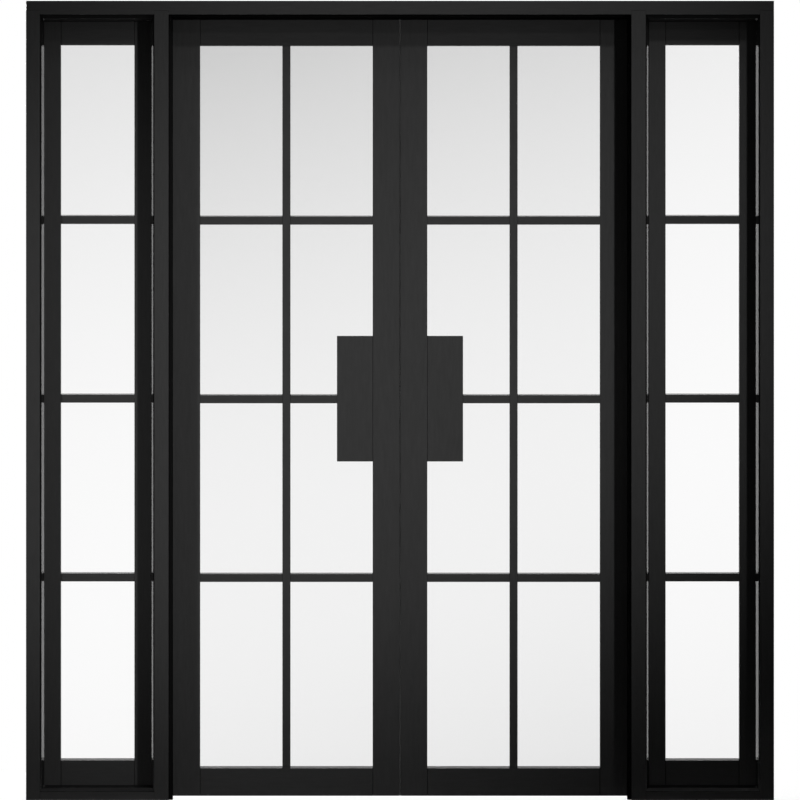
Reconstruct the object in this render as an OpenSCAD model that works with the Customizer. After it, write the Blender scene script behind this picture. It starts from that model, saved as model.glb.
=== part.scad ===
// Glazed double door with fixed glazed side panels, in one timber frame.
// Millimetres. X runs along the wall, Y from the stop side to the hinge side, Z up.
// The origin is on the floor, in the middle of the overall width and depth.

/* [Frame] */
// Width over the jambs
overall_w = 1900; // [1760:1:2300]
// Height over the head
overall_h = 2031; // [1900:1:2300]
// Depth of the frame from front to back
frame_depth = 108; // [100:1:150]
// Thickness of the jambs
jamb_t = 35; // [28:1:45]
// Thickness of the mullions that carry the doors
mullion_t = 36; // [32:1:50]
// Thickness of the head
head_t = 35; // [28:1:50]
// Depth of the housings in the head that take the posts
head_housing = 10; // [5:1:15]
// Thickness of the sills under the side panels
sill_t = 21.5; // [12:0.5:40]
// Clear width between the mullions
doorway_w = 1176; // [1000:1:1260]

/* [Stops] */
// Width of the door stops
door_stop_w = 10; // [8:0.5:16]
// Depth of the door stops from front to back
door_stop_d = 40; // [25:1:50]
// Gap between the door stops and the closed leaves
stop_gap = 1; // [0.5:0.25:3]
// Width of the stops beside the side panels
panel_stop_w = 10; // [8:0.5:16]
// Width of the stops over and under the side panels
panel_end_stop_w = 16; // [10:0.5:24]
// Depth of the stops in front of the side panels
panel_stop_d = 32; // [20:1:42]
// Width of the bevel on the stops
stop_bevel_w = 6.5; // [2:0.5:7]
// Depth of the bevel on the stops
stop_bevel_d = 11; // [4:0.5:16]

/* [Doors] */
// Thickness of the leaves
leaf_t = 35; // [32:1:44]
// Gap between a leaf and its mullion
hinge_gap = 3; // [2:0.5:4]
// Gap between the two leaves at their back edges
meeting_gap = 0.12; // [0.1:0.02:2]
// Spare bevel on the meeting edges, past what the swing needs
meeting_spare = 0.15; // [0.1:0.05:1]
// Gap over the leaves
top_gap = 6; // [2:0.5:8]
// Gap under the leaves
floor_gap = 9; // [5:0.5:20]
// Width of the hinge stiles
hinge_stile_w = 76; // [60:1:110]
// Width of the meeting stiles
meeting_stile_w = 69.5; // [60:0.5:110]
// Height of the top rails
top_rail_h = 71.5; // [60:0.5:140]
// Height of the bottom rails
bottom_rail_h = 75; // [60:1:250]
// Width of the lock blocks
lock_block_w = 91; // [60:1:140]
// Height of the lock blocks
lock_block_h = 320; // [150:1:500]

/* [Side panels] */
// Distance from the front of the frame to the front of the panels
panel_set = 60; // [46:1:66]
// Thickness of the panels
panel_t = 35; // [32:1:40]
// Gap on each side of a panel
panel_side_gap = 2; // [1:0.5:4]
// Gap over a panel
panel_top_gap = 4; // [2:0.5:8]
// Width of the panel stiles
panel_stile_w = 50; // [40:1:70]
// Height of the panels' top rails
panel_top_rail_h = 72; // [60:1:140]
// Height of the panels' bottom rails
panel_bottom_rail_h = 83; // [60:1:250]

/* [Glazing] */
// Height of each pane but the lowest, which takes what is left
pane_h = 431.5; // [300:0.5:460]
// Width of the glazing bars' faces
bar_w = 20.5; // [16:0.5:30]
// Depth of the timber in front of the glass
glazing_lip = 14; // [8:0.5:16]
// Width of the rebates that hold the glass
rebate_w = 6; // [4:0.5:7]
// Thickness of the glass
glass_t = 4; // [3:0.5:6]
// Clearance round the edges of the glass
glass_clearance = 1; // [0.5:0.25:2]
// Distance of the beads from the back face
bead_setback = 3; // [0.5:0.5:5]
// Shortening of each bead and panel stop at its mitres
mitre_gap = 0.1; // [0.05:0.05:0.5]
// Fall of the cross bars' tops, from the glass to the front
bar_fall = 3; // [0.5:0.25:6]
// Fall of the bottom rails' tops, from the glass to the front
rail_fall = 5; // [1:0.5:12]

/* [Joinery] */
// Length of the tenons on the rails
tenon_l = 32; // [20:1:36]
// Thickness of the tenons
tenon_t = 12; // [8:1:16]
// Shoulder above and below the tenons
tenon_shoulder = 16; // [10:1:20]
// Clearance at the end of a mortise
mortise_clearance = 1; // [0.5:0.5:3]
// Bevel on each side of the joints between stiles, rails and lock blocks
joint_bevel = 2; // [0.5:0.25:3]

/* [Hinges] */
// Height of the hinges
hinge_h = 102; // [75:1:125]
// Depth of a hinge plate let into the timber
plate_d = 30; // [22:1:31]
// Thickness of the hinge plates
plate_t = 2.5; // [2.4:0.1:3]
// Radius of the knuckles
knuckle_r = 5.5; // [4.5:0.1:6]
// Distance of the hinge axis behind the back faces
axis_out = 6.5; // [6.3:0.1:9]
// Gap between a knuckle and what turns past it
knuckle_gap = 0.4; // [0.2:0.05:0.6]
// Radius of the hinge pins
pin_r = 2.5; // [2:0.1:3]
// Running clearance of the pins
pin_clearance = 0.05; // [0.02:0.01:0.1]
// Height of the pin heads, and of the tips below the knuckles
pin_head_h = 3; // [2:0.5:5]
// Distance of the top hinge below the top of the leaf
top_hinge_drop = 150; // [120:1:250]
// Distance of the bottom hinge above the bottom of the leaf
bottom_hinge_rise = 225; // [120:1:300]

/* [Screws] */
// Radius of the screw shanks
screw_r = 2; // [1.5:0.1:2.5]
// Radius of the countersunk heads
screw_head_r = 4; // [3:0.1:4.5]
// Height of the countersunk heads
screw_head_h = 2.2; // [1.5:0.1:2.3]
// Length of the hinge screws
hinge_screw_l = 25; // [18:1:28]
// Length of the screws through the head into the posts
head_screw_l = 70; // [60:1:100]
// Clearance round the screws
screw_clearance = 0.05; // [0.02:0.01:0.2]
// Width of the slots in the screw heads
slot_w = 1; // [0.6:0.1:1.5]
// Depth of the slots in the screw heads
slot_d = 1; // [0.5:0.1:1.4]

/* [Hidden] */
// What is drawn
SIDES = ["left", "right"];
LEVELS = ["top", "middle", "bottom"];
SIDE_PIECES = [
    "jamb", "mullion", "sill", "door_stop", "panel_stops",
    "panel_outer_stile", "panel_inner_stile", "panel_top_rail", "panel_bottom_rail",
    "panel_bars", "panel_panes", "panel_beads",
    "hinge_stile", "meeting_stile", "top_rail", "bottom_rail", "lock_block",
    "vertical_bar", "cross_bars", "leaf_panes", "leaf_beads", "leaf_screws"
];
PLATES = ["frame_plate", "door_plate"];

// Colours
PAINT = "#2c2c2c";
GLASS = [0.9, 0.91, 0.92, 0.45];
STEEL = "#3b3b3d";

$fn = 48;
// How far a cut runs past the face it opens
past = 1;
// Rows of regular panes above the lowest one, which is also the number of cross bars
bar_rows = 3;
// The cross bar that meets the lock block, counted from the top
lock_row = 2;
// Height of a cross bar from its foot to the glass line on its top
cross_bar_h = bar_w + bar_fall;
// Knuckles of a hinge; the frame plate has the first, the last and every second one between
knuckles = 5;
// Screws in a hinge plate
plate_screws = 4;

// Frame places, left half; the right half is its mirror image
front_y = -(frame_depth + axis_out + knuckle_r) / 2;
back_y = front_y + frame_depth;
jamb_x = -overall_w / 2;
doorway_x = -doorway_w / 2;
mullion_x = doorway_x - mullion_t;
bay_x = jamb_x + jamb_t;
head_z = overall_h - head_t;
post_h = head_z + head_housing;

// Leaf places, left leaf
leaf_front = back_y - leaf_t;
leaf_x0 = doorway_x + hinge_gap;
leaf_x1 = -meeting_gap / 2;
leaf_z0 = floor_gap;
leaf_z1 = head_z - top_gap;
leaf_glass_x0 = leaf_x0 + hinge_stile_w;
leaf_glass_x1 = leaf_x1 - meeting_stile_w;
leaf_glass_z0 = leaf_z0 + bottom_rail_h;
leaf_glass_z1 = leaf_z1 - top_rail_h;
middle_bar_x0 = (leaf_glass_x0 + leaf_glass_x1 - bar_w) / 2;
middle_bar_x1 = middle_bar_x0 + bar_w;
lock_x = leaf_glass_x1 - lock_block_w;
lock_z = leaf_glass_z1 - lock_row * (pane_h + cross_bar_h) + cross_bar_h / 2;

// The front corner of a meeting edge has to pass the other leaf as it swings
leaf_reach = leaf_x1 - leaf_x0 + hinge_gap / 2;
swing_depth = leaf_t + axis_out;
meeting_bevel = leaf_reach - sqrt(pow(leaf_reach, 2) - pow(swing_depth, 2)) + meeting_spare;

// Side panel places, left panel
panel_front = front_y + panel_set;
panel_back = panel_front + panel_t;
panel_x0 = bay_x + panel_side_gap;
panel_x1 = mullion_x - panel_side_gap;
panel_z1 = head_z - panel_top_gap;
panel_glass_x0 = panel_x0 + panel_stile_w;
panel_glass_x1 = panel_x1 - panel_stile_w;
panel_glass_z0 = sill_t + panel_bottom_rail_h;
panel_glass_z1 = panel_z1 - panel_top_rail_h;

// Hinge places, left leaf
axis_x = doorway_x + hinge_gap / 2;
axis_y = back_y + axis_out;
knuckle_l = hinge_h / knuckles;
top_hinge_z = leaf_z1 - top_hinge_drop - hinge_h / 2;
bottom_hinge_z = leaf_z0 + bottom_hinge_rise + hinge_h / 2;

function hinge_z(level) =
    level == "top" ? top_hinge_z
    : level == "bottom" ? bottom_hinge_z
    : (top_hinge_z + bottom_hinge_z) / 2;

// Outline of an upright rectangle, anticlockwise
function rect(x0, z0, x1, z1) = [[x0, z0], [x1, z0], [x1, z1], [x0, z1]];

// The next corner of an outline, and the one before
function after(outline, i) = outline[(i + 1) % len(outline)];
function before(outline, i) = outline[(i + len(outline) - 1) % len(outline)];

function unit(v) = v / norm(v);
function inward(a, b) = let (u = unit(b - a)) [-u[1], u[0]];

// A square-cornered outline drawn in by d, or let out where d is negative
function inset(outline, d) = [
    for (i = [0 : len(outline) - 1])
        outline[i] + d * (inward(before(outline, i), outline[i]) + inward(outline[i], after(outline, i)))
];

// One mitred strip between an outline and a smaller one inside it, along side i
function strip(outer, inner, i) =
    let (along = mitre_gap * unit(after(outer, i) - outer[i]))
    [outer[i] + along, after(outer, i) - along, after(inner, i) - along, inner[i] + along];

// Upper and lower edge of a row of panes below the glass line top, counted from 0
function row_top(top, row) = top - row * (pane_h + cross_bar_h);
function row_bottom(top, bottom, row) = row < bar_rows ? row_top(top, row) - pane_h : bottom;

// Panes of a side panel, top to bottom, as seen between the bars
panel_panes_seen = [
    for (row = [0 : bar_rows])
        rect(
            panel_glass_x0, row_bottom(panel_glass_z1, panel_glass_z0, row),
            panel_glass_x1, row_top(panel_glass_z1, row)
        )
];

// A pane on the meeting side of a leaf; the lock block takes a corner from the rows beside it
function meeting_pane(row) =
    let (
        low = row_bottom(leaf_glass_z1, leaf_glass_z0, row),
        high = row_top(leaf_glass_z1, row),
        x0 = middle_bar_x1,
        x1 = leaf_glass_x1,
        lock_top = lock_z + lock_block_h / 2,
        lock_foot = lock_z - lock_block_h / 2
    )
    row == lock_row - 1
        ? [[x0, low], [lock_x, low], [lock_x, lock_top], [x1, lock_top], [x1, high], [x0, high]]
    : row == lock_row
        ? [[x0, low], [x1, low], [x1, lock_foot], [lock_x, lock_foot], [lock_x, high], [x0, high]]
    : rect(x0, low, x1, high);

function hinge_pane(row) =
    rect(
        leaf_glass_x0, row_bottom(leaf_glass_z1, leaf_glass_z0, row),
        middle_bar_x0, row_top(leaf_glass_z1, row)
    );

leaf_panes_seen = concat(
    [for (row = [0 : bar_rows]) hinge_pane(row)],
    [for (row = [0 : bar_rows]) meeting_pane(row)]
);

// Section of a stop, across and then in depth, with its bevel on the face at depth 0
// A thin stop keeps half its depth square behind the bevel
function stop_section(width, depth) = [
    [0, 0],
    [width - stop_bevel_w, 0],
    [width, min(stop_bevel_d, depth / 2)],
    [width, depth],
    [0, depth]
];

// Draws a left piece, or its mirror image for the right side
module on(side) {
    if (side == "left") children();
    else mirror([1, 0, 0]) children();
}

module block(x0, y0, z0, x1, y1, z1) {
    translate([x0, y0, z0]) cube([x1 - x0, y1 - y0, z1 - z0]);
}

// Upright slab from its outline in X and Z
module slab(outline, y, depth) {
    translate([0, y + depth, 0]) rotate([90, 0, 0]) linear_extrude(depth) polygon(outline);
}

// Moulding that runs along X, from its section in Y and Z
module run(x0, x1, section) {
    translate([x0, 0, 0]) rotate([90, 0, 90]) linear_extrude(x1 - x0) polygon(section);
}

// Moulding that runs along Z, from its section in X and Y
module upright(z0, z1, section) {
    translate([0, 0, z0]) linear_extrude(z1 - z0) polygon(section);
}

// Cut that slopes the top of a bar or rail from the glass down to its front
module slope_cut(x0, x1, y, z, fall) {
    over = past * fall / glazing_lip;
    run(x0, x1, [[y - past, z - fall - over], [y + glazing_lip + past, z + over], [y - past, z + over]]);
}

// V-shaped groove along an upright joint, in the face at y
module joint_groove(x, y, z0, z1) {
    wide = joint_bevel + past;
    upright(z0, z1, [[x - wide, y - past], [x + wide, y - past], [x, y + joint_bevel]]);
}

// Rail's tenons at both ends, or the mortises for them where spare is more than 0
module tenons(x0, x1, z0, z1, y, spare) {
    block(
        x0 - tenon_l - spare, y - tenon_t / 2, z0 + tenon_shoulder,
        x1 + tenon_l + spare, y + tenon_t / 2, z1 - tenon_shoulder
    );
}

// Rebates for the glass, open at the back
module rebates(panes, y, thickness) {
    for (pane = panes)
        slab(inset(pane, -rebate_w), y + glazing_lip, thickness - glazing_lip + past);
}

module glass(panes, y) {
    for (pane = panes) slab(inset(pane, glass_clearance - rebate_w), y + glazing_lip, glass_t);
}

module beads(panes, y, thickness) {
    depth = thickness - glazing_lip - glass_t - bead_setback;
    for (pane = panes) {
        outer = inset(pane, -rebate_w);
        for (i = [0 : len(pane) - 1]) slab(strip(outer, pane, i), y + glazing_lip + glass_t, depth);
    }
}

// Countersunk slotted screw that points down from its head at the origin
module screw(length) {
    difference() {
        union() {
            translate([0, 0, -screw_head_h]) cylinder(h = screw_head_h, r1 = screw_r, r2 = screw_head_r);
            translate([0, 0, -length]) cylinder(h = length, r = screw_r);
        }
        translate([-screw_head_r, -slot_w / 2, -slot_d]) cube([2 * screw_head_r, slot_w, slot_d + past]);
    }
}

module screw_hole(length) {
    wide = screw_head_r + screw_clearance;
    bore = screw_r + screw_clearance;
    translate([0, 0, -screw_head_h]) cylinder(h = screw_head_h, r1 = bore, r2 = wide);
    translate([0, 0, -length - screw_clearance]) cylinder(h = length + screw_clearance + past, r = bore);
}

// Head screws, two over each post of the left half
module at_head_screws() {
    for (x = [jamb_x + jamb_t / 2, mullion_x + mullion_t / 2], part = [1, 3])
        translate([x, front_y + frame_depth * part / 4, overall_h]) children();
}

// Screws of one hinge plate in two rows, turned by angle so that they point into the timber
module at_plate_screws(x, z, angle) {
    for (i = [0 : plate_screws - 1]) {
        row_y = back_y - plate_d * (1 + i % 2) / 3;
        rise = (i + 0.5) * hinge_h / plate_screws - hinge_h / 2;
        translate([x, row_y, z + rise]) rotate([0, angle, 0]) children();
    }
}

module at_frame_plate_screws() {
    for (level = LEVELS) at_plate_screws(doorway_x, hinge_z(level), 90) children();
}

module at_door_plate_screws() {
    for (level = LEVELS) at_plate_screws(leaf_x0, hinge_z(level), -90) children();
}

// Part of a hinge plate that is let into the timber
module plate_recess(x, level) {
    z = hinge_z(level) - hinge_h / 2;
    block(x, back_y - plate_d, z, x + plate_t, back_y + past, z + hinge_h);
}

// Frame

module post(x, thickness) {
    block(x, front_y, 0, x + thickness, back_y, post_h);
}

module jamb() {
    color(PAINT) difference() {
        post(jamb_x, jamb_t);
        at_head_screws() screw_hole(head_screw_l);
    }
}

module mullion() {
    color(PAINT) difference() {
        post(mullion_x, mullion_t);
        for (level = LEVELS) plate_recess(doorway_x - plate_t, level);
        at_frame_plate_screws() screw_hole(hinge_screw_l);
        at_head_screws() screw_hole(head_screw_l);
    }
}

module head() {
    color(PAINT) difference() {
        block(jamb_x, front_y, head_z, -jamb_x, back_y, overall_h);
        for (side = SIDES) on(side) {
            post(jamb_x, jamb_t);
            post(mullion_x, mullion_t);
            at_head_screws() screw_hole(head_screw_l);
        }
    }
}

module sill() {
    color(PAINT) block(bay_x, front_y, 0, mullion_x, back_y, sill_t);
}

module frame_screws() {
    color(STEEL) for (side = SIDES) on(side) {
        at_head_screws() screw(head_screw_l);
        at_frame_plate_screws() screw(hinge_screw_l);
    }
}

// Stops

door_stop_y = leaf_front - stop_gap - door_stop_d;

module door_stop() {
    section = [for (p = stop_section(door_stop_w, door_stop_d)) [doorway_x + p[0], door_stop_y + p[1]]];
    inner_x = doorway_x + door_stop_w;
    mitre = [[doorway_x, 0], [inner_x, 0], [inner_x, head_z - door_stop_w], [doorway_x, head_z]];
    color(PAINT) intersection() {
        upright(0, head_z, section);
        slab(mitre, door_stop_y, door_stop_d);
    }
}

module head_door_stop() {
    section = [for (p = stop_section(door_stop_w, door_stop_d)) [door_stop_y + p[1], head_z - p[0]]];
    inner_x = doorway_x + door_stop_w;
    low_z = head_z - door_stop_w;
    mitre = [[inner_x, low_z], [-inner_x, low_z], [-doorway_x, head_z], [doorway_x, head_z]];
    color(PAINT) intersection() {
        run(doorway_x, -doorway_x, section);
        slab(mitre, door_stop_y, door_stop_d);
    }
}

// Four mitred stops round a bay; way is 1 where the bevels face the front, -1 where the back
module stop_ring(y, depth, way) {
    outer = rect(bay_x, sill_t, mullion_x, head_z);
    inner = rect(
        bay_x + panel_stop_w, sill_t + panel_end_stop_w,
        mullion_x - panel_stop_w, head_z - panel_end_stop_w
    );
    face_y = way > 0 ? y : y + depth;
    ends = stop_section(panel_end_stop_w, depth);
    sides = stop_section(panel_stop_w, depth);
    intersection() {
        slab(strip(outer, inner, 0), y, depth);
        run(bay_x, mullion_x, [for (p = ends) [face_y + way * p[1], sill_t + p[0]]]);
    }
    intersection() {
        slab(strip(outer, inner, 1), y, depth);
        upright(sill_t, head_z, [for (p = sides) [mullion_x - p[0], face_y + way * p[1]]]);
    }
    intersection() {
        slab(strip(outer, inner, 2), y, depth);
        run(bay_x, mullion_x, [for (p = ends) [face_y + way * p[1], head_z - p[0]]]);
    }
    intersection() {
        slab(strip(outer, inner, 3), y, depth);
        upright(sill_t, head_z, [for (p = sides) [bay_x + p[0], face_y + way * p[1]]]);
    }
}

module panel_stops() {
    color(PAINT) {
        stop_ring(panel_front - panel_stop_d, panel_stop_d, 1);
        stop_ring(panel_back, back_y - panel_back, -1);
    }
}

// Side panels

module panel_rebates() {
    rebates(panel_panes_seen, panel_front, panel_t);
}

module panel_tenons(z0, z1, spare) {
    tenons(panel_glass_x0, panel_glass_x1, z0, z1, panel_front + panel_t / 2, spare);
}

module panel_grooves() {
    for (x = [panel_glass_x0, panel_glass_x1]) {
        joint_groove(x, panel_front, sill_t - past, panel_glass_z0 - rail_fall);
        joint_groove(x, panel_front, panel_glass_z1, panel_z1 + past);
    }
}

module panel_stile(x) {
    color(PAINT) difference() {
        block(x, panel_front, sill_t, x + panel_stile_w, panel_back, panel_z1);
        panel_rebates();
        panel_grooves();
        panel_tenons(sill_t, panel_glass_z0, mortise_clearance);
        panel_tenons(panel_glass_z1, panel_z1, mortise_clearance);
    }
}

module panel_outer_stile() {
    panel_stile(panel_x0);
}

module panel_inner_stile() {
    panel_stile(panel_glass_x1);
}

module panel_top_rail() {
    color(PAINT) difference() {
        union() {
            block(panel_glass_x0, panel_front, panel_glass_z1, panel_glass_x1, panel_back, panel_z1);
            panel_tenons(panel_glass_z1, panel_z1, 0);
        }
        panel_rebates();
        panel_grooves();
    }
}

module panel_bottom_rail() {
    color(PAINT) difference() {
        union() {
            block(panel_glass_x0, panel_front, sill_t, panel_glass_x1, panel_back, panel_glass_z0);
            panel_tenons(sill_t, panel_glass_z0, 0);
        }
        panel_rebates();
        panel_grooves();
        slope_cut(panel_glass_x0, panel_glass_x1, panel_front, panel_glass_z0, rail_fall);
    }
}

module panel_bars() {
    color(PAINT) for (row = [1 : bar_rows]) {
        z1 = row_top(panel_glass_z1, row) + cross_bar_h;
        difference() {
            block(panel_glass_x0, panel_front, z1 - cross_bar_h, panel_glass_x1, panel_back, z1);
            panel_rebates();
            slope_cut(panel_glass_x0, panel_glass_x1, panel_front, z1, bar_fall);
        }
    }
}

module panel_panes() {
    color(GLASS) glass(panel_panes_seen, panel_front);
}

module panel_beads() {
    color(PAINT) beads(panel_panes_seen, panel_front, panel_t);
}

// Doors

module leaf_rebates() {
    rebates(leaf_panes_seen, leaf_front, leaf_t);
}

module leaf_tenons(z0, z1, spare) {
    tenons(leaf_glass_x0, leaf_glass_x1, z0, z1, leaf_front + leaf_t / 2, spare);
}

module leaf_mortises() {
    leaf_tenons(leaf_z0, leaf_glass_z0, mortise_clearance);
    leaf_tenons(leaf_glass_z1, leaf_z1, mortise_clearance);
}

module leaf_grooves() {
    half = lock_block_h / 2;
    for (x = [leaf_glass_x0, leaf_glass_x1]) {
        joint_groove(x, leaf_front, leaf_z0 - past, leaf_glass_z0 - rail_fall);
        joint_groove(x, leaf_front, leaf_glass_z1, leaf_z1 + past);
    }
    joint_groove(leaf_glass_x1, leaf_front, lock_z - half, lock_z + half);
}

module hinge_stile() {
    color(PAINT) difference() {
        block(leaf_x0, leaf_front, leaf_z0, leaf_glass_x0, back_y, leaf_z1);
        leaf_rebates();
        leaf_grooves();
        leaf_mortises();
        for (level = LEVELS) plate_recess(leaf_x0, level);
        at_door_plate_screws() screw_hole(hinge_screw_l);
    }
}

module meeting_stile() {
    section = [
        [leaf_glass_x1, leaf_front],
        [leaf_x1 - meeting_bevel, leaf_front],
        [leaf_x1, back_y],
        [leaf_glass_x1, back_y]
    ];
    color(PAINT) difference() {
        upright(leaf_z0, leaf_z1, section);
        leaf_rebates();
        leaf_grooves();
        leaf_mortises();
    }
}

module top_rail() {
    color(PAINT) difference() {
        union() {
            block(leaf_glass_x0, leaf_front, leaf_glass_z1, leaf_glass_x1, back_y, leaf_z1);
            leaf_tenons(leaf_glass_z1, leaf_z1, 0);
        }
        leaf_rebates();
        leaf_grooves();
    }
}

module bottom_rail() {
    color(PAINT) difference() {
        union() {
            block(leaf_glass_x0, leaf_front, leaf_z0, leaf_glass_x1, back_y, leaf_glass_z0);
            leaf_tenons(leaf_z0, leaf_glass_z0, 0);
        }
        leaf_rebates();
        leaf_grooves();
        slope_cut(leaf_glass_x0, middle_bar_x0, leaf_front, leaf_glass_z0, rail_fall);
        slope_cut(middle_bar_x1, leaf_glass_x1, leaf_front, leaf_glass_z0, rail_fall);
    }
}

module lock_block() {
    half = lock_block_h / 2;
    color(PAINT) difference() {
        block(lock_x, leaf_front, lock_z - half, leaf_glass_x1, back_y, lock_z + half);
        leaf_rebates();
        leaf_grooves();
    }
}

module vertical_bar() {
    color(PAINT) difference() {
        block(middle_bar_x0, leaf_front, leaf_glass_z0, middle_bar_x1, back_y, leaf_glass_z1);
        leaf_rebates();
    }
}

module cross_bar(x0, x1, z1) {
    difference() {
        block(x0, leaf_front, z1 - cross_bar_h, x1, back_y, z1);
        leaf_rebates();
        slope_cut(x0, x1, leaf_front, z1, bar_fall);
    }
}

module cross_bars() {
    color(PAINT) for (row = [1 : bar_rows]) {
        z1 = row_top(leaf_glass_z1, row) + cross_bar_h;
        cross_bar(leaf_glass_x0, middle_bar_x0, z1);
        cross_bar(middle_bar_x1, row == lock_row ? lock_x : leaf_glass_x1, z1);
    }
}

module leaf_panes() {
    color(GLASS) glass(leaf_panes_seen, leaf_front);
}

module leaf_beads() {
    color(PAINT) beads(leaf_panes_seen, leaf_front, leaf_t);
}

// Hinges

// Cylinder on the hinge axis, over knuckle i of a hinge, shortened by gap
module knuckle(level, i, radius, gap) {
    foot = hinge_z(level) - hinge_h / 2 + i * knuckle_l + gap / 2;
    translate([axis_x, axis_y, foot]) cylinder(h = knuckle_l - gap, r = radius);
}

module pin_bore(level) {
    foot = hinge_z(level) - hinge_h / 2 - past;
    translate([axis_x, axis_y, foot]) cylinder(h = hinge_h + 2 * past, r = pin_r + pin_clearance);
}

// Hinge plate with every second knuckle from first on, in the plane that starts at x
module hinge_plate(x, level, first) {
    z = hinge_z(level) - hinge_h / 2;
    difference() {
        union() {
            difference() {
                block(x, back_y - plate_d, z, x + plate_t, axis_y, z + hinge_h);
                for (i = [1 - first : 2 : knuckles - 1]) knuckle(level, i, knuckle_r + knuckle_gap, 0);
            }
            for (i = [first : 2 : knuckles - 1]) knuckle(level, i, knuckle_r, knuckle_gap);
        }
        pin_bore(level);
    }
}

module frame_plate(level) {
    color(STEEL) difference() {
        hinge_plate(doorway_x - plate_t, level, 0);
        at_plate_screws(doorway_x, hinge_z(level), 90) screw_hole(hinge_screw_l);
    }
}

module door_plate(level) {
    color(STEEL) difference() {
        hinge_plate(leaf_x0, level, 1);
        at_plate_screws(leaf_x0, hinge_z(level), -90) screw_hole(hinge_screw_l);
    }
}

// Pin with its head on the top knuckle and a blunt tip under the lowest one
module hinge_pin(level) {
    foot = hinge_z(level) - hinge_h / 2;
    translate([axis_x, axis_y, foot - pin_head_h]) cylinder(h = hinge_h + pin_head_h, r = pin_r);
    translate([axis_x, axis_y, foot + hinge_h - knuckle_gap / 2]) cylinder(h = pin_head_h, r = knuckle_r);
}

module hinge_pins() {
    color(STEEL) for (side = SIDES, level = LEVELS) on(side) hinge_pin(level);
}

module leaf_screws() {
    color(STEEL) at_door_plate_screws() screw(hinge_screw_l);
}

// Drawing

head();
head_door_stop();
hinge_pins();
frame_screws();
for (side = SIDES) {
    on(side) jamb();
    on(side) mullion();
    on(side) sill();
    on(side) door_stop();
    on(side) panel_stops();
    on(side) panel_outer_stile();
    on(side) panel_inner_stile();
    on(side) panel_top_rail();
    on(side) panel_bottom_rail();
    on(side) panel_bars();
    on(side) panel_panes();
    on(side) panel_beads();
    on(side) hinge_stile();
    on(side) meeting_stile();
    on(side) top_rail();
    on(side) bottom_rail();
    on(side) lock_block();
    on(side) vertical_bar();
    on(side) cross_bars();
    on(side) leaf_panes();
    on(side) leaf_beads();
    on(side) leaf_screws();
    for (level = LEVELS) {
        on(side) frame_plate(level);
        on(side) door_plate(level);
    }
}
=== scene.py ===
"""Looks, light and camera for a black painted glazed double door with side panels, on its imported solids."""

from math import radians

import bpy
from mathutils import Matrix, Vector


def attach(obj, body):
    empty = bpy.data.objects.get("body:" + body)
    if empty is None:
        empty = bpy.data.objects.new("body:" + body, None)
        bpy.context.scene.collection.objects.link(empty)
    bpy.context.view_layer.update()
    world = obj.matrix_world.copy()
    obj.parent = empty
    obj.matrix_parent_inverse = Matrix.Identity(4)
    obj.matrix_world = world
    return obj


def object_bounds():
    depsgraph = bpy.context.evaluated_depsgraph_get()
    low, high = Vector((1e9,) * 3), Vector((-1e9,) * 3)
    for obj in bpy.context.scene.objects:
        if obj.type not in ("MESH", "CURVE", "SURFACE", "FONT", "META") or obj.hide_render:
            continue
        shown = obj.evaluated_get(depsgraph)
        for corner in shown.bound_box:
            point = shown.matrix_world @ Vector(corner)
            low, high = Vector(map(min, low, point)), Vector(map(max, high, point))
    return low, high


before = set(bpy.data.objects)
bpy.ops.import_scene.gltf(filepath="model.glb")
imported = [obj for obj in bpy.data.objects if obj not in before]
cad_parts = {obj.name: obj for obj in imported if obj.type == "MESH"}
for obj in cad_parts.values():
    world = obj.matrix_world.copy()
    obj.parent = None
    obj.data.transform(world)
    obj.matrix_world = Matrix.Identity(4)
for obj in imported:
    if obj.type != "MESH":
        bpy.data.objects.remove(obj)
cad_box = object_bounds()

# Metres in a millimetre; the sizes of patterns, arrises and the lip below are written in millimetres
MM = 0.001

# Values between which most of a noise pattern lies
NOISE_LOW = 0.3
NOISE_HIGH = 0.7

# Paint: its colours from the hollow to the ridge of a brush mark, and its marks
BLACK = ("#2b2b2b", "#353535")
# A deeper black, painted shade for the stops and the lip that lie in deep shade
SHADE_BLACK = ("#0b0b0b", "#121212")
BRUSH_MARK_WIDTH = 5 * MM
BRUSH_MARK_LENGTH = 45 * MM
BRUSH_MARK_HEIGHT = 0.10 * MM
BRUSH_MARK_STRENGTH = 0.35
ORANGE_PEEL = 9 * MM
CLOUD = 220 * MM
PAINT_ROUGHNESS = 0.50
PAINT_ROUGHNESS_SPREAD = 0.04
PAINT_IOR = 1.5
# Clear coats: weight, roughness and index of refraction
SATIN = (1.0, 0.1, 1.6)
GLOSS = (1.0, 0.02, 2.5)
DULL = (0.0, 0.1, 1.6)

# Arrises: their widths, how near points are that count as one, and how far flat faces lead the shading
TIMBER_ARRIS = 1.0 * MM
BEAD_ARRIS = 0.6 * MM
STOP_ARRIS = 0.25 * MM
ARRIS_SEGMENTS = 2
WELD_REACH = 0.001 * MM
FLAT_FACE_WEIGHT = 100
# Least turn, in radians, of an edge that is eased; on the panel stops the shallow bevels are eased too
SHARP = 0.9
BLUNT = 0.5

# Lip of paint in the gap between the leaves: its reach to each side of the middle, and depth from the back
LIP_ROOT = 0.30 * MM
LIP_TIP = 0.03 * MM
LIP_FRONT = 2.6 * MM
LIP_BACK = 0.8 * MM

# Glass: clearest along a line that rises slowly to the right, and greyer above and below it as painted shade;
# the line's height at the middle of the door and the reach of the painted shade are in metres
GLASS_IOR = 1.52
GLASS_WAVE = 260 * MM
GLASS_WAVE_HEIGHT = 0.02 * MM
GLASS_WAVE_STRENGTH = 0.2
PAINTED_SHADE_SLOPE = 0.26
PAINTED_SHADE_CLEAREST = 0.72
PAINTED_SHADE_REACH = 1.4

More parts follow.
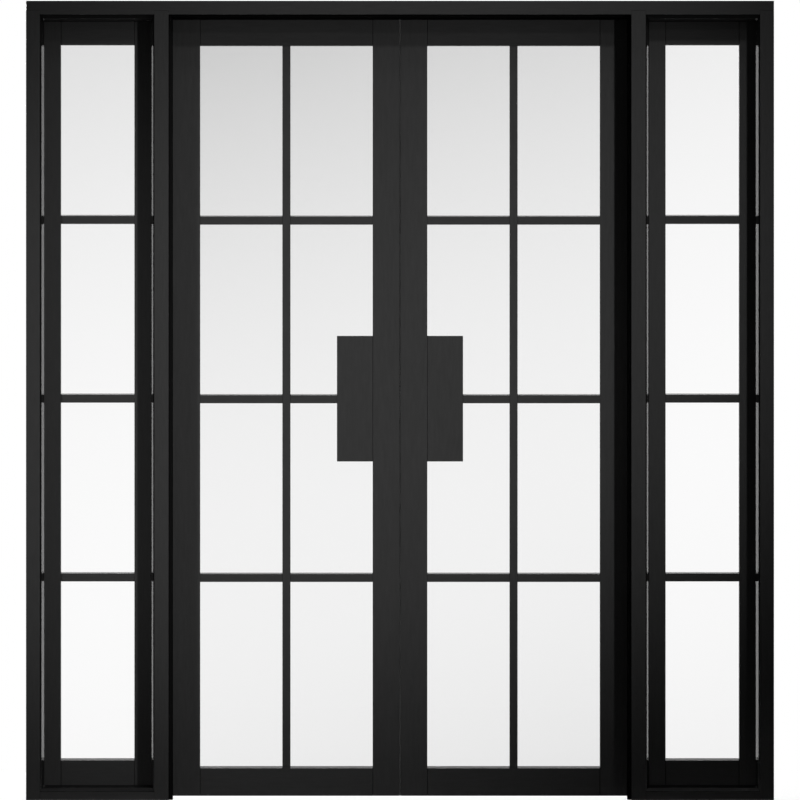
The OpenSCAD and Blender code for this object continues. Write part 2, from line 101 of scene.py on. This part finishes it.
# Steel
GRIND_WIDTH = 0.8 * MM
GRIND_LENGTH = 14 * MM
GRIND_HEIGHT = 0.02 * MM
GRIND_STRENGTH = 0.3
GRIND_ROUGHNESS_SPREAD = 0.06
HINGE_ROUGHNESS = 0.42
SCREW_ROUGHNESS = 0.34

# Photograph: a square picture, in which the frame is this wide, taken from far off; the camera's place is
# in metres and its sensor in millimetres
PHOTO_PIXELS = 800
FRAME_PIXELS = 748
CAMERA_DISTANCE = 30.0
CAMERA_HEIGHT = 1.0169
FAR_CLIP = 10 * CAMERA_DISTANCE
SENSOR = 36.0

# Studio floor, in metres, with the glow that lifts it to white where it is seen
FLOOR_HALF_WIDTH = 9.0
FLOOR_FRONT = -9.0
FLOOR_BACK = 2.2
FLOOR_GREY = "#686868"
FLOOR_LIFT = 0.93

# Room: its light on the door, and its level in mirrors, which turns from dim in front to lighter behind
ROOM_LEVEL = 0.12
DIM_FRONT = 0.01
DIM_BACK = 0.35
TURN_FRONT = -0.1
TURN_BACK = 0.3

# Lamps: the foot of the mast that carries the spots on the right, and the soft lamp's side and watts
MAST = (4.88, -7.4)
SOFT_LAMP_SIDE = 1.2
SOFT_LAMP_WATTS = 160.0

DIRECTIONS = "XYZ"

# Sockets of a Mix node, many of which share a name: the factor, then both sides and the result of each kind
FACTOR = 0
COLOUR_A, COLOUR_B, COLOUR_MIX = 6, 7, 2
VALUE_A, VALUE_B, VALUE_MIX = 2, 3, 0


def linear(code):
    """Linear colour with full alpha from an sRGB hex code."""
    channels = [int(code[i:i + 2], 16) / 255 for i in (1, 3, 5)]
    return [c / 12.92 if c <= 0.04045 else ((c + 0.055) / 1.055) ** 2.4 for c in channels] + [1.0]


def add(tree, kind, sockets=None, **settings):
    """Adds a node; each named socket takes a plain value or the output that feeds it."""
    node = tree.nodes.new(kind)
    for name, value in settings.items():
        setattr(node, name, value)
    for name, value in (sockets or {}).items():
        if isinstance(value, bpy.types.NodeSocket):
            tree.links.new(value, node.inputs[name])
        else:
            node.inputs[name].default_value = value
    return node


def empty_material(name):
    """A material with no nodes yet."""
    material = bpy.data.materials.new(name)
    material.use_nodes = True
    material.node_tree.nodes.clear()
    return material


def stretched(along, length, width):
    """Mapping scale for a pattern that is drawn out along one direction."""
    return [1 / length if direction == along else 1 / width for direction in DIRECTIONS]


def black_paint(name, along, colours, coat):
    """Brushed paint on timber: near black, with the sheen of its coat and faint marks along each piece."""
    material = empty_material(name)
    tree = material.node_tree
    hollow, ridge = colours
    place = add(tree, "ShaderNodeTexCoord").outputs["Object"]
    marks_place = add(tree, "ShaderNodeMapping", {
        "Vector": place, "Scale": stretched(along, BRUSH_MARK_LENGTH, BRUSH_MARK_WIDTH),
    }).outputs["Vector"]
    # Real brush marks are a millimetre or less wide; these are wider, so that they show in the picture
    marks = add(tree, "ShaderNodeTexNoise", {
        "Vector": marks_place, "Scale": 1.0, "Detail": 3.0, "Roughness": 0.6,
    }).outputs["Fac"]
    peel = add(tree, "ShaderNodeTexNoise", {
        "Vector": place, "Scale": 1 / ORANGE_PEEL, "Detail": 2.0,
    }).outputs["Fac"]
    cloud = add(tree, "ShaderNodeTexNoise", {
        "Vector": place, "Scale": 1 / CLOUD, "Detail": 2.0,
    }).outputs["Fac"]
    colour = add(tree, "ShaderNodeMix", {
        FACTOR: marks, COLOUR_A: linear(hollow), COLOUR_B: linear(ridge),
    }, data_type="RGBA").outputs[COLOUR_MIX]
    gloss = add(tree, "ShaderNodeMapRange", {
        "Value": cloud, "From Min": NOISE_LOW, "From Max": NOISE_HIGH,
        "To Min": PAINT_ROUGHNESS - PAINT_ROUGHNESS_SPREAD,
        "To Max": PAINT_ROUGHNESS + PAINT_ROUGHNESS_SPREAD,
    }).outputs["Result"]
    relief = add(tree, "ShaderNodeMath", {0: marks, 1: peel}, operation="ADD").outputs[0]
    bump = add(tree, "ShaderNodeBump", {
        "Height": relief, "Strength": BRUSH_MARK_STRENGTH, "Distance": BRUSH_MARK_HEIGHT,
    }).outputs["Normal"]
    weight, roughness, ior = coat
    paint = add(tree, "ShaderNodeBsdfPrincipled", {
        "Base Color": colour, "Roughness": gloss, "IOR": PAINT_IOR, "Specular IOR Level": 0.0, "Normal": bump,
        "Coat Weight": weight, "Coat Roughness": roughness, "Coat IOR": ior,
    })
    add(tree, "ShaderNodeOutputMaterial", {"Surface": paint.outputs[0]})
    return material


def float_glass(name, clear, shaded):
    """Smooth clear glass that lets the lamps through, greyed towards its ends by painted shade."""
    material = empty_material(name)
    tree = material.node_tree
    place = add(tree, "ShaderNodeTexCoord").outputs["Object"]
    height = add(tree, "ShaderNodeVectorMath", {
        0: place, 1: (-PAINTED_SHADE_SLOPE, 0.0, 1.0),
    }, operation="DOT_PRODUCT").outputs["Value"]
    away = add(tree, "ShaderNodeMapRange", {
        "Value": height, "From Min": PAINTED_SHADE_CLEAREST, "From Max": PAINTED_SHADE_CLEAREST + PAINTED_SHADE_REACH,
    }, clamp=False).outputs["Result"]
    painted_shade = add(tree, "ShaderNodeMath", {0: away, 1: away}, operation="MULTIPLY").outputs[0]
    tint = add(tree, "ShaderNodeMix", {
        FACTOR: painted_shade, COLOUR_A: linear(clear), COLOUR_B: linear(shaded),
    }, data_type="RGBA").outputs[COLOUR_MIX]
    wave = add(tree, "ShaderNodeTexNoise", {
        "Vector": place, "Scale": 1 / GLASS_WAVE, "Detail": 0.0,
    }).outputs["Fac"]
    bump = add(tree, "ShaderNodeBump", {
        "Height": wave, "Strength": GLASS_WAVE_STRENGTH, "Distance": GLASS_WAVE_HEIGHT,
    }).outputs["Normal"]
    glass = add(tree, "ShaderNodeBsdfPrincipled", {
        "Base Color": tint, "Roughness": 0.0, "IOR": GLASS_IOR, "Transmission Weight": 1.0, "Normal": bump,
    })
    through = add(tree, "ShaderNodeBsdfTransparent", {"Color": tint})
    shadow = add(tree, "ShaderNodeLightPath").outputs["Is Shadow Ray"]
    surface = add(tree, "ShaderNodeMixShader", {0: shadow, 1: glass.outputs[0], 2: through.outputs[0]})
    add(tree, "ShaderNodeOutputMaterial", {"Surface": surface.outputs[0]})
    return material


def blackened_steel(name, dark, light, along, roughness):
    """Ground steel, blackened: dark and metallic, with fine grinding lines."""
    material = empty_material(name)
    tree = material.node_tree
    place = add(tree, "ShaderNodeTexCoord").outputs["Object"]
    lines_place = add(tree, "ShaderNodeMapping", {
        "Vector": place, "Scale": stretched(along, GRIND_LENGTH, GRIND_WIDTH),
    }).outputs["Vector"]
    # Real grinding lines are finer; these are as wide as they need to be to show
    lines = add(tree, "ShaderNodeTexNoise", {
        "Vector": lines_place, "Scale": 1.0, "Detail": 2.0,
    }).outputs["Fac"]
    colour = add(tree, "ShaderNodeMix", {
        FACTOR: lines, COLOUR_A: linear(dark), COLOUR_B: linear(light),
    }, data_type="RGBA").outputs[COLOUR_MIX]
    gloss = add(tree, "ShaderNodeMapRange", {
        "Value": lines, "From Min": NOISE_LOW, "From Max": NOISE_HIGH,
        "To Min": roughness - GRIND_ROUGHNESS_SPREAD, "To Max": roughness + GRIND_ROUGHNESS_SPREAD,
    }).outputs["Result"]
    bump = add(tree, "ShaderNodeBump", {
        "Height": lines, "Strength": GRIND_STRENGTH, "Distance": GRIND_HEIGHT,
    }).outputs["Normal"]
    steel = add(tree, "ShaderNodeBsdfPrincipled", {
        "Base Color": colour, "Metallic": 1.0, "Roughness": gloss, "Normal": bump,
    })
    add(tree, "ShaderNodeOutputMaterial", {"Surface": steel.outputs[0]})
    return material


def finish_of(node):
    """The finish for a CAD node, from its name."""
    if node.endswith("_leaf_panes"):
        return "door_glass"
    if node.endswith("_panel_panes"):
        return "panel_glass"
    if node.endswith("_plate") or node == "hinge_pins":
        return "hinge_steel"
    if node.endswith("_screws"):
        return "screw_steel"
    if node.endswith("_door_stop"):
        return "stop_shade_paint"
    if node.endswith("_panel_stops"):
        return "gloss_shade_paint"
    if node == "head" or node.endswith(("_rail", "_sill", "_panel_bars", "_cross_bars")):
        return "paint_level"
    return "paint_upright"


def ease_edges(piece, arris, sharpness):
    """Takes the sharp edges off a painted piece, as sandpaper does before painting."""
    weld = piece.modifiers.new("joined_corners", "WELD")
    weld.merge_threshold = WELD_REACH
    bevel = piece.modifiers.new("arris", "BEVEL")
    bevel.width = arris
    bevel.segments = ARRIS_SEGMENTS
    bevel.limit_method = "ANGLE"
    bevel.angle_limit = sharpness
    bevel.use_clamp_overlap = True
    shade = piece.modifiers.new("even_shading", "WEIGHTED_NORMAL")
    shade.weight = FLAT_FACE_WEIGHT


def dress():
    """Gives each solid its finish, and eases the edges of the painted ones."""
    finishes = {
        "paint_upright": black_paint("satin_black_paint_upright", "Z", BLACK, SATIN),
        "paint_level": black_paint("satin_black_paint_level", "X", BLACK, SATIN),
        # The door stops' deeper black without a coat is painted shade, for the deep slot round the leaves
        "stop_shade_paint": black_paint("shade_black_paint_door_stops", "Z", SHADE_BLACK, DULL),
        # The panel stops mirror the bright glass in the photograph more than plain paint would
        # Their deeper black is painted shade
        "gloss_shade_paint": black_paint("gloss_shade_black_paint_panel_stops", "Z", SHADE_BLACK, GLOSS),
        # Each glass: its clear tint, then the grey of its painted shade towards the ends
        "door_glass": float_glass("float_glass_doors", "#f6f6f6", "#cbcbcb"),
        "panel_glass": float_glass("float_glass_side_panels", "#ffffff", "#e5e5e5"),
        "hinge_steel": blackened_steel("blackened_hinge_steel", "#3a3a3c", "#4a4a4d", "Z", HINGE_ROUGHNESS),
        "screw_steel": blackened_steel("blackened_screw_steel", "#4c4c50", "#66666a", "X", SCREW_ROUGHNESS),
    }
    for name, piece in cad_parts.items():
        finish = finish_of(name)
        for slot in piece.material_slots:
            slot.material = finishes[finish]
        if "paint" in finish:
            if name.endswith("_panel_stops"):
                ease_edges(piece, STOP_ARRIS, BLUNT)
            elif name.endswith("_beads"):
                ease_edges(piece, BEAD_ARRIS, SHARP)
            else:
                ease_edges(piece, TIMBER_ARRIS, SHARP)


def seal_meeting_line():
    """A lip of paint on the left leaf's meeting edge, which keeps light out of the gap between the leaves;
    its deeper black is painted shade.
    """
    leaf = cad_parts["left_meeting_stile"]
    corners = [leaf.matrix_world @ Vector(c) for c in leaf.bound_box]
    back = max(c.y for c in corners)
    foot = min(c.z for c in corners)
    top = max(c.z for c in corners)
    near, far = back - LIP_FRONT, back - LIP_BACK
    section = [(-LIP_ROOT, near), (LIP_TIP, near), (LIP_TIP, far), (-LIP_ROOT, far)]
    places = [(x, y, z) for z in (foot, top) for x, y in section]
    mesh = bpy.data.meshes.new("meeting_lip")
    # Foot, top, front, right, back and left
    sides = [(0, 3, 2, 1), (4, 5, 6, 7), (0, 1, 5, 4), (1, 2, 6, 5), (2, 3, 7, 6), (3, 0, 4, 7)]
    mesh.from_pydata(places, [], sides)
    mesh.materials.append(black_paint("shade_black_paint_lip", "Z", SHADE_BLACK, DULL))
    lip = bpy.data.objects.new("meeting_lip", mesh)
    bpy.context.scene.collection.objects.link(lip)
    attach(lip, "left_leaf")


def lay_floor():
    """Pale studio floor that shows white where it is lit, and keeps the door's shadow."""
    corners = [
        (-FLOOR_HALF_WIDTH, FLOOR_FRONT, 0), (FLOOR_HALF_WIDTH, FLOOR_FRONT, 0),
        (FLOOR_HALF_WIDTH, FLOOR_BACK, 0), (-FLOOR_HALF_WIDTH, FLOOR_BACK, 0),
    ]
    mesh = bpy.data.meshes.new("studio_floor")
    mesh.from_pydata(corners, [], [range(len(corners))])
    floor = bpy.data.objects.new("studio_floor", mesh)
    bpy.context.scene.collection.objects.link(floor)
    material = empty_material("pale_floor_paint")
    tree = material.node_tree
    path = add(tree, "ShaderNodeLightPath")
    seen = add(tree, "ShaderNodeMath", {
        0: path.outputs["Is Camera Ray"], 1: path.outputs["Is Transmission Ray"],
    }, operation="MAXIMUM").outputs[0]
    lift = add(tree, "ShaderNodeMath", {0: seen, 1: FLOOR_LIFT}, operation="MULTIPLY").outputs[0]
    pale = add(tree, "ShaderNodeBsdfDiffuse", {"Color": linear(FLOOR_GREY)})
    glow = add(tree, "ShaderNodeEmission", {"Strength": lift})
    both = add(tree, "ShaderNodeAddShader", {0: pale.outputs[0], 1: glow.outputs[0]})
    add(tree, "ShaderNodeOutputMaterial", {"Surface": both.outputs[0]})
    mesh.materials.append(material)


def surround():
    """A room that is white to the eye and through the glass, and dim as a light and in mirrors."""
    world = bpy.data.worlds.new("studio")
    bpy.context.scene.world = world
    world.use_nodes = True
    tree = world.node_tree
    tree.nodes.clear()
    path = add(tree, "ShaderNodeLightPath")
    towards = add(tree, "ShaderNodeTexCoord").outputs["Generated"]
    behind = add(tree, "ShaderNodeSeparateXYZ", {"Vector": towards}).outputs["Y"]
    mirrored = add(tree, "ShaderNodeMapRange", {
        "Value": behind, "From Min": TURN_FRONT, "From Max": TURN_BACK,
        "To Min": DIM_FRONT, "To Max": DIM_BACK,
    }).outputs["Result"]
    room = add(tree, "ShaderNodeMix", {
        FACTOR: path.outputs["Is Glossy Ray"], VALUE_A: ROOM_LEVEL, VALUE_B: mirrored,
    }).outputs[VALUE_MIX]
    white = add(tree, "ShaderNodeMath", {
        0: path.outputs["Is Camera Ray"], 1: path.outputs["Is Transmission Ray"],
    }, operation="MAXIMUM").outputs[0]
    strength = add(tree, "ShaderNodeMix", {FACTOR: white, VALUE_A: room, VALUE_B: 1.0}).outputs[VALUE_MIX]
    sky = add(tree, "ShaderNodeBackground", {"Color": linear("#ffffff"), "Strength": strength})
    add(tree, "ShaderNodeOutputWorld", {"Surface": sky.outputs[0]})


def light_studio():
    """Spot lamps in front and a soft lamp behind."""
    # Spots over each other on one mast soften the shadows of level pieces and leave those of uprights sharp
    hang_spot("spot_right_1", watts=1850, cone=17.6, radius=0.08, place=(*MAST, 2.3), aim=(-0.19, 0.0, 1.16))
    hang_spot("spot_right_2", watts=620, cone=15.3, radius=0.2, place=(*MAST, 6.5), aim=(-0.19, 0.0, 1.16))
    hang_spot("spot_right_3", watts=2630, cone=11.7, radius=0.4, place=(*MAST, 10.0), aim=(0.05, 0.0, 1.6))
    hang_spot("spot_right_4", watts=1920, cone=14.3, radius=0.8, place=(*MAST, 16.0), aim=(-0.45, 0.0, 1.9))
    hang_spot("spot_left", watts=1310, cone=13.8, radius=0.2, place=(-6.5, -6.0, 1.2), aim=(-0.75, 0.0, 1.0))

    soft = bpy.data.lights.new("soft_lamp_behind", "AREA")
    soft.size = SOFT_LAMP_SIDE
    soft.energy = SOFT_LAMP_WATTS
    hang_lamp(soft, place=(-2.2, 3.6, 2.4), aim=(0.0, 0.0, 1.0))


def hang_spot(name, watts, cone, radius, place, aim):
    """A spot lamp whose pool of light fades out to the edge of its cone, which is given in degrees."""
    spot = bpy.data.lights.new(name, "SPOT")
    spot.energy = watts
    spot.spot_size = radians(cone)
    spot.spot_blend = 1.0
    spot.shadow_soft_size = radius
    # Mirrored in the paint, so small a lamp would leave broken glints along the arrises
    hang_lamp(spot, place, aim).visible_glossy = False


def hang_lamp(lamp, place, aim):
    """Hangs a lamp so that it lights the door but isn't seen itself."""
    hung = bpy.data.objects.new(lamp.name, lamp)
    hung.location = place
    hung.rotation_euler = (Vector(aim) - Vector(place)).to_track_quat("-Z", "Y").to_euler()
    hung.visible_camera = False
    hung.visible_transmission = False
    bpy.context.scene.collection.objects.link(hung)
    return hung


def set_camera():
    """A long lens far off, square to the door, that frames it as the photograph does."""
    low, high = cad_box
    seen_width = (high.x - low.x) * PHOTO_PIXELS / FRAME_PIXELS
    lens = bpy.data.cameras.new("camera")
    lens.sensor_width = SENSOR
    lens.lens = SENSOR * CAMERA_DISTANCE / seen_width
    lens.clip_end = FAR_CLIP
    camera = bpy.data.objects.new("camera", lens)
    camera.location = (0.0, low.y - CAMERA_DISTANCE, CAMERA_HEIGHT)
    camera.rotation_euler = Vector((0.0, 1.0, 0.0)).to_track_quat("-Z", "Y").to_euler()
    bpy.context.scene.collection.objects.link(camera)
    bpy.context.scene.camera = camera


dress()
seal_meeting_line()
lay_floor()
surround()
light_studio()
set_camera()
bpy.context.scene.view_settings.view_transform = "Standard"
